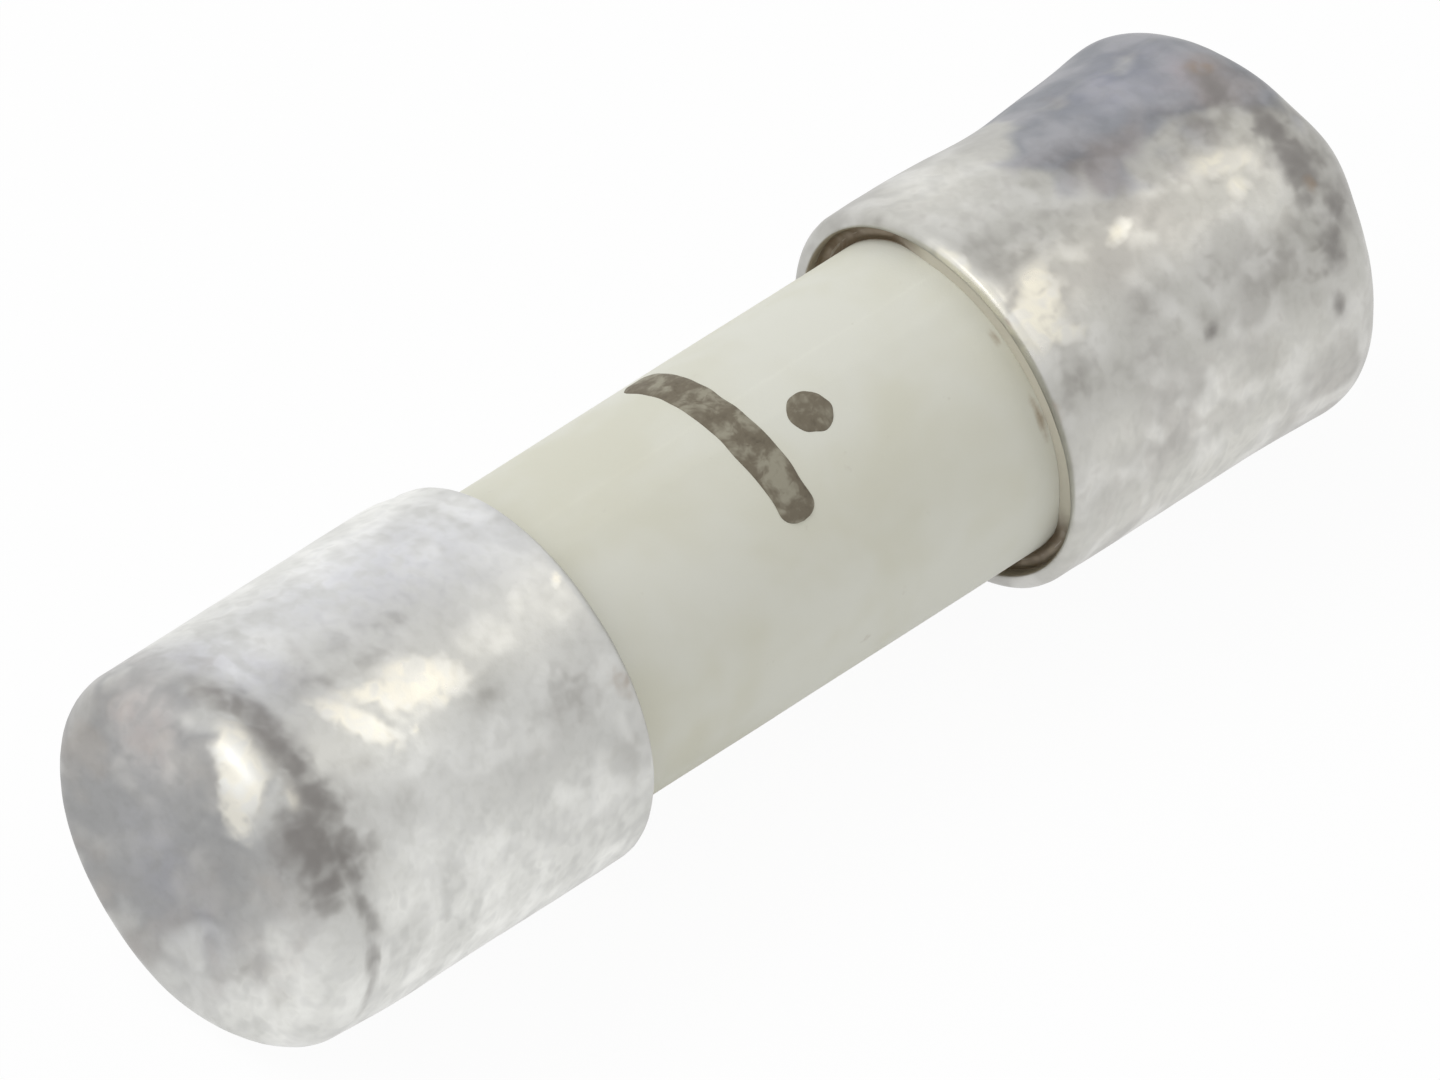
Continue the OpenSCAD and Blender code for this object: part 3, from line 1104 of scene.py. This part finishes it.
@dataclass
class EndCap:
    """One drawn and tinned end cap."""

    end: End
    node: str
    finish: TinCoat
    foot_round: float
    marks: Sequence[Patch]
    wall: float = CAP_WALL
    closed_end: float = 0.2 * MM
    inner_round: float = 0.15 * MM
    lip_round: float = 0.1 * MM
    lip_chamfer: float = 0.02 * MM
    step: float = 0.028 * MM
    inner_step: float = 0.2 * MM
    turning: Turning = Turning(
        steps_round=300, lump_height=0.02 * MM, lump_size=1.1 * MM, ripple_height=0.01 * MM,
        ripple_size=0.35 * MM)

    def section(self, radius: float, length: float) -> Section:
        """Draw the cap's half section, from the middle of its closed end round to the inside.

        Args:
            radius: The cap's outside radius.
            length: Its length from the closed end to the mouth.

        Returns:
            The section.
        """
        foot, lip, inner, floor = self.foot_round, self.lip_round, self.inner_round, self.closed_end
        cavity = radius - self.wall
        section = Section(0.0, 0.0, self.step, relief=1.0)
        section.line(0.0, radius - foot)
        section.arc((foot, radius - foot), foot, radius)
        section.line(length - lip, radius)
        section.arc((length - lip, radius - lip), length, radius - lip)
        section.line(length, cavity + self.lip_chamfer)
        section.plain_lines(self.step, (length - self.lip_chamfer, cavity))
        section.plain_lines(self.inner_step, (floor + inner, cavity))
        section.arc((floor + inner, cavity - inner), floor, cavity - inner, 0.0)
        section.plain_lines(self.inner_step, (floor, 0.0))
        return section

    def build(self, lathe: Lathe) -> bpy.types.Object:
        """Build the cap and dress it.

        Args:
            lathe: The tree that turns sections.

        Returns:
            The finished piece.
        """
        room = Room.of(self.node)
        section = self.section(room.radius, room.length)
        shown = lathe.turn(
            self.node + "_tinned", section.mesh(self.node, room.tip(self.end), -self.end.value),
            room.axis_height, self.turning, self.finish.seed, self.finish.material(self.node + "_tin"))
        self.mark(shown.data, room)
        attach(shown, BODY)
        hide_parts(self.node)
        return shown

    def mark(self, mesh: bpy.types.Mesh, room: Room) -> None:
        """Press the dents into the cap and keep what covers the tin at each of its points, painted light
        and shade among it.

        Args:
            mesh: The turned cap.
            room: The room of its solid.
        """
        points = rows_of(mesh, "co")
        way = numbers_of(mesh, "way")
        outer = np.clip(numbers_of(mesh, "relief"), 0, 1)
        turn = turns_of(points, room.axis_height)
        radius = np.hypot(points[:, 1], points[:, 2] - room.axis_height)
        covers = {coat: np.zeros(len(points)) for coat in Coat}
        press = np.zeros(len(points))
        for patch in self.marks:
            cover = patch.cover(way, turn, radius, room.radius if patch.way >= room.radius else 0.0)
            if patch.coat is None:
                press += cover * outer
            else:
                covers[patch.coat] = np.maximum(covers[patch.coat], cover)
        move_points(mesh, points + rows_of(mesh, "normal") * press[:, None])
        for coat, cover in covers.items():
            keep_numbers(mesh, coat.value, cover)
        keep_numbers(mesh, "outer", outer)


@dataclass
class Tube:
    """The ceramic tube between the caps."""

    node: str = TUBE
    finish: FiredCeramic = FiredCeramic()
    bore_radius: float = BORE_RADIUS
    chamfer: float = 0.05 * MM
    shown_half: float = 2.16 * MM
    step: float = 0.03 * MM
    hidden_step: float = 0.45 * MM
    turning: Turning = Turning(
        steps_round=288, lump_height=0.012 * MM, lump_size=2.2 * MM, ripple_height=0.003 * MM,
        ripple_size=0.5 * MM)
    seed: float = 41.0
    # Width of the flux stain and painted shade along the solder.
    dirt_width: float = 0.09 * MM
    stains: Sequence[Patch] = TUBE_STAINS

    def section(self, radius: float, half: float) -> Section:
        """Draw the tube's half section, once round from the bore's chamfer at its left end.

        Args:
            radius: The tube's outside radius.
            half: Half its length.

        Returns:
            The section.
        """
        edge, bore = self.chamfer, self.bore_radius
        section = Section(-half, bore + edge, self.step)
        section.plain_lines(self.hidden_step, (-half, radius - edge), (-half + edge, radius))
        section.line(-self.shown_half, radius, self.hidden_step)
        section.line(self.shown_half, radius)
        section.line(half - edge, radius, self.hidden_step)
        section.plain_lines(
            self.hidden_step, (half, radius - edge), (half, bore + edge), (half - edge, bore),
            (-half + edge, bore), (-half, bore + edge))
        return section

    def build(self, lathe: Lathe) -> bpy.types.Object:
        """Build the tube and dress it.

        Args:
            lathe: The tree that turns sections.

        Returns:
            The finished piece.
        """
        room = Room.of(self.node)
        section = self.section(room.radius, room.length / 2)
        shown = lathe.turn(
            self.node + "_fired", section.mesh(self.node), room.axis_height, self.turning, self.seed,
            self.finish.material(self.node + "_fired"))
        self.soil(shown.data, room)
        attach(shown, BODY)
        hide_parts(self.node)
        return shown

    def soil(self, mesh: bpy.types.Mesh, room: Room) -> None:
        """Keep how stained or shaded each point of the tube is: stained in places, and along the solder
        flux-stained and darker as painted shade.

        Args:
            mesh: The turned tube.
            room: The room of its solid.
        """
        points = rows_of(mesh, "co")
        # Along the solder the tube is flux-stained and darker as painted shade in the gap.
        solder = Room.of("right_solder").left
        dirt = np.clip(1 - (solder - np.abs(points[:, 0])) / self.dirt_width, 0, 1)
        turn = turns_of(points, room.axis_height)
        radius = np.full(len(points), room.radius)
        for stain in self.stains:
            dirt = np.maximum(dirt, stain.cover(points[:, 0], turn, radius, room.radius))
        keep_numbers(mesh, "dirt", dirt)


@dataclass
class FuseWire:
    """The fuse wire, from the solder at one end through the bore to the other."""

    node: str = "fuse_wire"
    finish: SilveredWire = SilveredWire()
    radius: float = 0.04 * MM
    clearance: float = 0.02 * MM
    bend: float = 0.12 * MM
    leg: float = 0.9 * MM
    bore_radius: float = BORE_RADIUS
    sides: int = 20
    bend_steps: int = 14

    def half_path(self, tube_radius: float, tube_half: float) -> list[tuple[float, float]]:
        """Follow the wire from its middle out over the tube's right rim.

        Args:
            tube_radius: The tube's outside radius.
            tube_half: Half the tube's length.

        Returns:
            Places along X and above the axis.
        """
        inset = self.bend - self.radius - self.clearance
        corner = (tube_half - inset, self.bore_radius + inset)
        far = math.hypot(*corner)
        heading = math.atan2(corner[1], corner[0]) - math.asin(self.bend / far)
        run = math.sqrt(far ** 2 - self.bend ** 2)
        upright = tube_radius - self.bore_radius - 2 * inset
        spot = (0.0, 0.0)
        path = []
        stretches = ((run, math.pi / 2), (upright, math.pi), (self.leg - inset, None))
        for straight, next_heading in stretches:
            spot = (spot[0] + straight * math.cos(heading), spot[1] + straight * math.sin(heading))
            path.append(spot)
            if next_heading is None:
                break
            centre = (spot[0] - self.bend * math.sin(heading), spot[1] + self.bend * math.cos(heading))
            for number in range(1, self.bend_steps + 1):
                angle = heading + (next_heading - heading) * number / self.bend_steps
                spot = (centre[0] + self.bend * math.sin(angle), centre[1] - self.bend * math.cos(angle))
                path.append(spot)
            heading = next_heading
        return path

    def build(self, sweep: Sweep) -> bpy.types.Object:
        """Build the wire and dress it.

        Args:
            sweep: The tree that draws wire along a path.

        Returns:
            The finished piece.
        """
        tube = Room.of(TUBE)
        half = self.half_path(tube.radius, tube.length / 2)
        whole = [(-x, -z) for x, z in reversed(half)] + half
        points = np.array([(x, 0.0, tube.axis_height + z) for x, z in whole])
        shown = sweep.grow(self.node + "_silvered", point_mesh(self.node, points, {}, joined=True), {
            "Radius": self.radius, "Sides": self.sides,
            "Skin": self.finish.material(self.node + "_silver")})
        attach(shown, BODY)
        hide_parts(self.node)
        return shown


@dataclass(frozen=True)
class Ragged:
    """A torn line: waves of several lengths with fixed random starts.

    The waves grow weaker as they grow shorter, by their number to the power of softness.
    """

    seed: int
    height: float
    waves: int = 9
    softness: float = 0.7

    def at(self, share: np.ndarray) -> np.ndarray:
        """Give how far the line strays.

        Args:
            share: Places along the line, where 1 is its whole length.

        Returns:
            One distance for each place.
        """
        draw = np.random.default_rng(self.seed)
        total = np.zeros_like(share)
        for number in range(1, self.waves + 1):
            start = draw.uniform(0, math.tau)
            total += np.sin(math.tau * number * share + start) / number ** self.softness
        return total * self.height / math.sqrt(self.waves)


@dataclass
class InkMark:
    """The printed bar and dot, a thin film of ink on the tube.

    The bar's ends are rounded, blunter with a larger end_power. At its rim the film is rim_share
    of its thickness, and in the middle it is that much over it. It falls late with a large rim_power.
    """

    node: str = "printed_mark"
    finish: StampedInk = StampedInk()
    thickness: float = 0.012 * MM
    sunk: float = 0.001 * MM
    bar_at: float = -0.1 * MM
    bar_half: float = 0.15 * MM
    bar_turn: float = 2.0
    bar_sweep: float = 90.0
    bar_rows: int = 220
    bar_columns: int = 24
    bar_left_seed: int = 11
    bar_right_seed: int = 12
    end_power: float = 2.6
    dot_at: float = 0.44 * MM
    dot_radius: float = 0.17 * MM
    dot_turn: float = 18.0
    dot_lines: int = 41
    dot_seed: int = 13
    rim_share: float = 0.2
    rim_power: float = 6.0
    weld: float = 0.00001 * MM
    tear: float = 0.016 * MM

    def bar(self, radius: float) -> tuple[np.ndarray, np.ndarray, np.ndarray]:
        """Lay out the bar on the unrolled tube.

        Args:
            radius: The tube's outside radius.

        Returns:
            Places along X, ways round the tube and shares from the middle to the rim, as grids.
        """
        half = math.radians(self.bar_sweep) / 2 * radius
        rows = np.linspace(-1, 1, self.bar_rows)[:, None]
        columns = np.linspace(-1, 1, self.bar_columns)[None, :]
        end_share = np.clip((np.abs(rows) * half - (half - self.bar_half)) / self.bar_half, 0, 1)
        width = self.bar_half * np.sqrt(np.maximum(1 - end_share ** self.end_power, 0))
        share = (rows + 1) / 2
        left = -width + Ragged(self.bar_left_seed, self.tear).at(share) * (width / self.bar_half)
        right = width + Ragged(self.bar_right_seed, self.tear).at(share) * (width / self.bar_half)
        across = left + (right - left) * (columns + 1) / 2
        around = math.radians(self.bar_turn) * radius + rows * half
        rim = np.maximum(np.abs(columns), end_share ** 2)
        return tuple(np.broadcast_arrays(self.bar_at + across, around, rim))

    def dot(self, radius: float) -> tuple[np.ndarray, np.ndarray, np.ndarray]:
        """Lay out the dot on the unrolled tube.

        Args:
            radius: The tube's outside radius.

        Returns:
            Places along X, ways round the tube and shares from the middle to the rim, as grids.
        """
        side = np.linspace(-1, 1, self.dot_lines)
        across, around = np.meshgrid(side, side)
        # A square grid is drawn in to a round one
        round_across = across * np.sqrt(1 - around ** 2 / 2)
        round_around = around * np.sqrt(1 - across ** 2 / 2)
        angle = np.arctan2(round_around, round_across)
        reach = self.dot_radius + Ragged(self.dot_seed, self.tear).at(angle / math.tau)
        middle = math.radians(self.dot_turn) * radius
        rim = np.maximum(np.abs(across), np.abs(around))
        return self.dot_at + round_across * reach, middle + round_around * reach, rim

    def drawing(self, radius: float) -> bpy.types.Mesh:
        """Draw the bar and the dot flat.

        Args:
            radius: The tube's outside radius.

        Returns:
            A flat mesh, X along the tube and Y round it.
        """
        points, faces, rims = [], [], []
        for across, around, rim in (self.bar(radius), self.dot(radius)):
            start = len(points)
            points.extend(zip(across.ravel(), around.ravel(), np.zeros(rim.size)))
            rims.extend(rim.ravel())
            rows, columns = rim.shape
            for row in range(rows - 1):
                for column in range(columns - 1):
                    corner = start + row * columns + column
                    faces.append((corner, corner + 1, corner + columns + 1, corner + columns))
        mesh = bpy.data.meshes.new(self.node)
        mesh.from_pydata(points, [], faces)
        keep_numbers(mesh, "rim", np.array(rims))
        return mesh

    def build(self, film: Film) -> bpy.types.Object:
        """Build the mark and dress it.

        Args:
            film: The tree that lays a drawing round the tube.

        Returns:
            The finished piece.
        """
        tube = Room.of(TUBE)
        shown = film.grow(self.node + "_stamped", self.drawing(tube.radius), {
            "Radius": tube.radius, "Axis Height": tube.axis_height, "Thickness": self.thickness,
            "Rim Share": self.rim_share, "Rim Power": self.rim_power, "Sunk": self.sunk,
            "Weld": self.weld, "Skin": self.finish.material(self.node + "_ink")})
        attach(shown, BODY)
        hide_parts(self.node)
        return shown


@dataclass
class SolderJoints:
    """The solder in both caps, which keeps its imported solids."""

    nodes: tuple[str, ...] = ("left_solder", "right_solder")
    finish: DullSolder = DullSolder()

    def build(self) -> list[bpy.types.Object]:
        """Dress the solder.

        Returns:
            The dressed solids.
        """
        skin = self.finish.material("solder_dull")
        solids = [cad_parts[node] for node in self.nodes]
        for solid in solids:
            solid.data.materials.clear()
            solid.data.materials.append(skin)
        return solids


@dataclass
class SolderRim:
    """The rim of solder that shows in the gap at a cap's mouth, drawn up along both walls."""

    end: End
    solder_node: str
    cap_node: str
    cap_wall: float = CAP_WALL
    finish: DullSolder = DullSolder(metal=tone(150, 139, 120), crust=tone(116, 98, 74))
    climb: float = 0.05 * MM
    foot: float = 0.02 * MM
    hollow_relief: float = 0.5
    fill: float = 0.1 * MM
    fill_turn: float = 45.0
    fill_reach: float = 60.0
    fill_fade: float = 25.0
    clearance: float = 0.002 * MM
    step: float = 0.01 * MM
    turning: Turning = Turning(
        steps_round=288, lump_height=0.0, lump_size=0.18 * MM, ripple_height=0.012 * MM,
        ripple_size=0.18 * MM)
    seed: float = 63.0

    def section(self, inner: float, outer: float) -> Section:
        """Draw the rim's half section, hollow between the two walls.

        Args:
            inner: The rim's inside radius.
            outer: Its outside radius.

        Returns:
            The section.
        """
        middle = (inner + outer) / 2
        hollow = (self.climb, middle)
        section = Section(-self.foot, outer, self.step)
        section.plain_lines(self.step, (self.climb, outer))
        section.arc(hollow, 0.0, middle, self.hollow_relief)
        section.arc(hollow, self.climb, inner, self.hollow_relief)
        section.plain_lines(self.step, (-self.foot, inner), (-self.foot, outer))
        return section

    def build(self, lathe: Lathe) -> bpy.types.Object:
        """Build the rim and dress it.

        Args:
            lathe: The tree that turns sections.

        Returns:
            The finished piece.
        """
        tube = Room.of(TUBE)
        face = Room.of(self.solder_node).tip(self.end.other)
        inner = tube.radius + self.clearance
        outer = Room.of(self.cap_node).radius - self.cap_wall - self.clearance
        name = self.solder_node + "_rim"
        section = self.section(inner, outer).mesh(name, face, -self.end.value)
        shown = lathe.turn(name, section, tube.axis_height, self.turning, self.seed + self.end.value,
                           self.finish.material(name))
        self.raise_front(shown.data, face, tube.axis_height)
        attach(shown, BODY)
        return shown

    def raise_front(self, mesh: bpy.types.Mesh, face: float, axis_height: float) -> None:
        """Fill the gap nearly to the mouth at the front, so that no open slit shows there.

        Args:
            mesh: The turned rim.
            face: Where the solder's own face lies on X.
            axis_height: Height of the fuse's axis above the board.
        """
        points = rows_of(mesh, "co")
        swing = np.degrees(np.abs(swings_from(self.fill_turn, turns_of(points, axis_height))))
        share = np.clip((self.fill_reach - swing) / self.fill_fade + 0.5, 0, 1)
        share = share * share * (3 - 2 * share)
        hollow = numbers_of(mesh, "relief") > 0
        height = (face - points[:, 0]) * self.end.value
        on_wall = -self.foot + (height + self.foot) * (self.fill + self.foot) / (self.climb + self.foot)
        target = np.where(hollow, self.fill, on_wall)
        points[:, 0] = face - self.end.value * (height + share * (target - height))
        move_points(mesh, points)
        keep_numbers(mesh, "filled", share)


@dataclass(frozen=True)
class Lamp:
    """One soft square lamp, aimed at the fuse."""

    name: str
    towards: tuple[float, float, float]
    light: float
    colour: tuple[float, float, float] = (1.0, 1.0, 1.0)
    reach: float = 120 * MM
    side: float = 50 * MM
    mirrored: bool = True

    def build(self) -> None:
        """Hang the lamp, with the power that gives a white matte surface facing it its light."""
        data = bpy.data.lights.new(self.name, "AREA")
        data.shape = "SQUARE"
        data.size = self.side
        data.color = self.colour
        data.energy = self.light * (math.pi * self.reach) ** 2
        way = Vector(self.towards).normalized()
        lamp = hang(self.name, data, way * self.reach, way.to_track_quat("Z", "Y"))
        lamp.visible_glossy = self.mirrored


@dataclass
class Studio:
    """Camera, floor, world and lamps round the fuse.

    The frame is frame_pixels wide, and axis_pixel is where the tube's middle shows in it. The clip
    shares are of the camera's distance. The world lights with the strength fill.
    """

    azimuth: float = -42.6
    elevation: float = 43.7
    lens: float = 900.0
    sensor: float = 36.0
    frame_width: float = 10.05 * MM
    frame_pixels: float = 1440.0
    axis_pixel: tuple[float, float] = (725.7, 535.7)
    picture_middle: tuple[float, float] = (720.0, 540.0)
    clip_near: float = 0.1
    clip_far: float = 10.0
    floor_half: float = 300 * MM
    floor_tone: float = 0.95
    floor_glow: float = 0.95
    fill: float = 0.55
    lamps: tuple[Lamp, ...] = (
        Lamp("key_lamp", (0.5, -0.26, 0.82), 0.04, (1.0, 0.93, 0.76), side=60 * MM),
        Lamp("lip_lamp", (-0.81, 0.17, 0.56), 0.03, side=40 * MM),
        Lamp("back_lamp", (-0.35, 0.48, 0.8), 0.2, (0.98, 0.99, 1.0), reach=200 * MM, side=140 * MM,
             mirrored=False),
        Lamp("glint_lamp", (-0.35, 0.48, 0.8), 0.22, (0.98, 0.99, 1.0), reach=200 * MM, side=140 * MM),
    )

    def build_camera(self) -> None:
        """Place the camera where the photograph was taken from."""
        turn, rise = math.radians(self.azimuth), math.radians(self.elevation)
        back = Vector((math.sin(turn) * math.cos(rise), -math.cos(turn) * math.cos(rise), math.sin(rise)))
        facing = (-back).to_track_quat("-Z", "Y")
        low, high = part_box(TUBE)
        scale = self.frame_width / self.frame_pixels
        right = (self.picture_middle[0] - self.axis_pixel[0]) * scale
        up = (self.axis_pixel[1] - self.picture_middle[1]) * scale
        aim = (low + high) / 2 + facing @ Vector((right, up, 0.0))
        distance = self.frame_width * self.lens / self.sensor
        data = bpy.data.cameras.new("camera")
        data.lens = self.lens
        data.sensor_width = self.sensor
        data.clip_start = distance * self.clip_near
        data.clip_end = distance * self.clip_far
        bpy.context.scene.camera = hang("camera", data, aim + back * distance, facing)

    def seen(self, graph: Graph) -> Socket:
        """Tell rays that are seen, straight or in a reflection, from rays that only light.

        Args:
            graph: The tree that asks.

        Returns:
            The output that is 1 for a seen ray.
        """
        path = graph.add("ShaderNodeLightPath").outputs
        mirrored = graph.maths("MAXIMUM", path["Is Glossy Ray"], path["Is Transmission Ray"])
        return graph.maths("MAXIMUM", path["Is Camera Ray"], mirrored)

    def build_world(self) -> None:
        """Make the world white where it is seen, and softer where it lights."""
        world = bpy.data.worlds.new("studio")
        world.use_nodes = True
        graph = Graph(world.node_tree)
        strength = graph.maths("ADD", graph.maths("MULTIPLY", self.seen(graph), 1 - self.fill), self.fill)
        sky = world.node_tree.nodes["Background"]
        graph.feed(sky.inputs["Color"], (1.0, 1.0, 1.0, 1.0))
        graph.feed(sky.inputs["Strength"], strength)
        bpy.context.scene.world = world

    def build_floor(self) -> None:
        """Lay the pale floor, which keeps a faint shadow."""
        half = self.floor_half
        corners = [(-half, -half, 0), (half, -half, 0), (half, half, 0), (-half, half, 0)]
        mesh = bpy.data.meshes.new("floor")
        mesh.from_pydata(corners, [], [(0, 1, 2, 3)])
        skin = Skin("floor_paper")
        skin.set(Base_Color=(self.floor_tone,) * 3 + (1.0,), Roughness=1.0, Specular_IOR_Level=0.0)
        glow = skin.out("ShaderNodeEmission", {"Strength": 1.0})
        share = skin.maths("MULTIPLY", self.seen(skin), self.floor_glow)
        both = skin.out("ShaderNodeMixShader", {0: share, 1: skin.shader.outputs[0], 2: glow})
        skin.feed(skin.tree.nodes["Material Output"].inputs["Surface"], both)
        mesh.materials.append(skin.material)
        floor = show("floor", mesh)

    def build(self) -> None:
        """Build the whole studio."""
        self.build_camera()
        self.build_world()
        self.build_floor()
        for lamp in self.lamps:
            lamp.build()
        bpy.context.scene.view_settings.view_transform = "Standard"


def main() -> None:
    """Build every piece in order and report it."""
    logging.basicConfig(level=logging.INFO, format="%(message)s")
    Studio().build()
    lathe = Lathe()
    # Each tin has its own colours, among them the greys of its painted shade and its painted highlight.
    left_tin = TinCoat(
        seed=1.0, plain=tone(203, 203, 200), light=tone(213, 213, 210), shade=tone(191, 191, 188),
        dull=tone(161, 161, 161), dull_light=tone(176, 175, 173), dull_warm=tone(170, 165, 160),
        bright=tone(224, 221, 211))
    right_tin = TinCoat(
        seed=30.0, plain=tone(190, 189, 184), light=tone(203, 202, 198), shade=tone(174, 172, 168),
        dull=tone(149, 151, 156), dull_light=tone(167, 167, 171), dull_warm=tone(161, 153, 148),
        bright=tone(213, 210, 199))
    left_cap = EndCap(End.LEFT, "left_end_cap", left_tin, 0.28 * MM, LEFT_MARKS)
    right_cap = EndCap(End.RIGHT, "right_end_cap", right_tin, 0.5 * MM, RIGHT_MARKS, lip_round=0.07 * MM)
    pieces = [left_cap.build(lathe), right_cap.build(lathe), Tube().build(lathe),
              FuseWire().build(Sweep()), InkMark().build(Film()), *SolderJoints().build(),
              SolderRim(End.LEFT, "left_solder", "left_end_cap").build(lathe),
              SolderRim(End.RIGHT, "right_solder", "right_end_cap").build(lathe)]
    for piece in pieces:
        LOG.info("built %s with %d faces", piece.name, len(piece.data.polygons))


if __name__ == "__main__":
    main()
